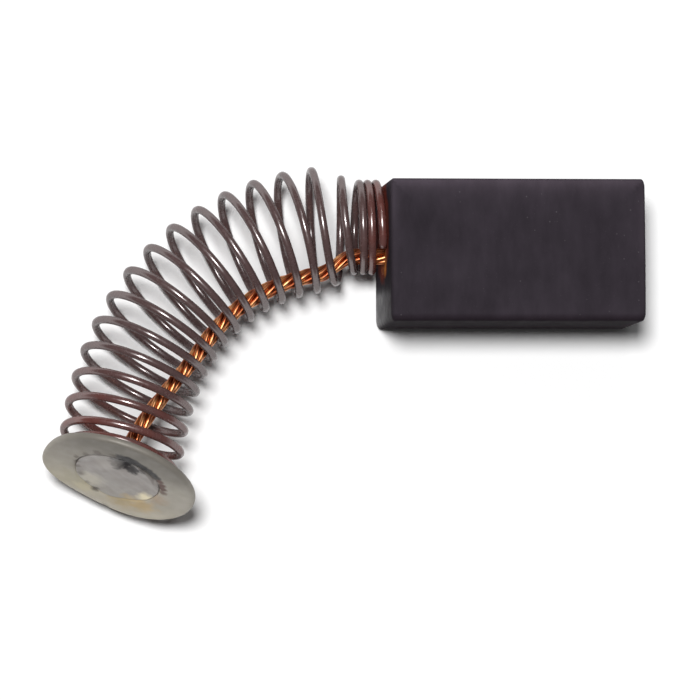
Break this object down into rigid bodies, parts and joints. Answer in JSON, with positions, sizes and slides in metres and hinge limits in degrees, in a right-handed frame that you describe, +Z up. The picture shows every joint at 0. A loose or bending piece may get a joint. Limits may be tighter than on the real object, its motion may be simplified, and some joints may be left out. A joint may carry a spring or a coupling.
{
  "type": "carbon brush",
  "caption": "Graphite motor brush with a stranded copper shunt inside a bowed coil spring and a round flanged terminal cap.",
  "frame": {"origin": "centre of the graphite block's underside, on the surface the block lies on", "axes": "+X along the block towards its contact end, +Z up, and the spring bows from -X round to -Y"},
  "size_m": [0.0336, 0.0198, 0.0099],
  "materials": {
    "graphite": "pressed graphite, matt, faintly mottled",
    "copper_powder": "tamped copper powder, dull",
    "spring_wire": "drawn spring steel wire, darkened, satin",
    "copper_wire": "bright stranded copper, unplated",
    "plated_cap": "dull grey plating over brass, stained",
    "solder": "dull solder, uneven"
  },
  "bodies": {
    "root": {"carbon_block": "graphite", "tamping": "copper_powder", "spring": "spring_wire", "shunt_core": "copper_wire", "shunt_bundle_1": "copper_wire", "shunt_bundle_2": "copper_wire", "shunt_bundle_3": "copper_wire", "shunt_bundle_4": "copper_wire", "shunt_bundle_5": "copper_wire", "shunt_bundle_6": "copper_wire", "terminal_cap": "plated_cap", "solder_fill": "solder"}
  },
  "joints": []
}
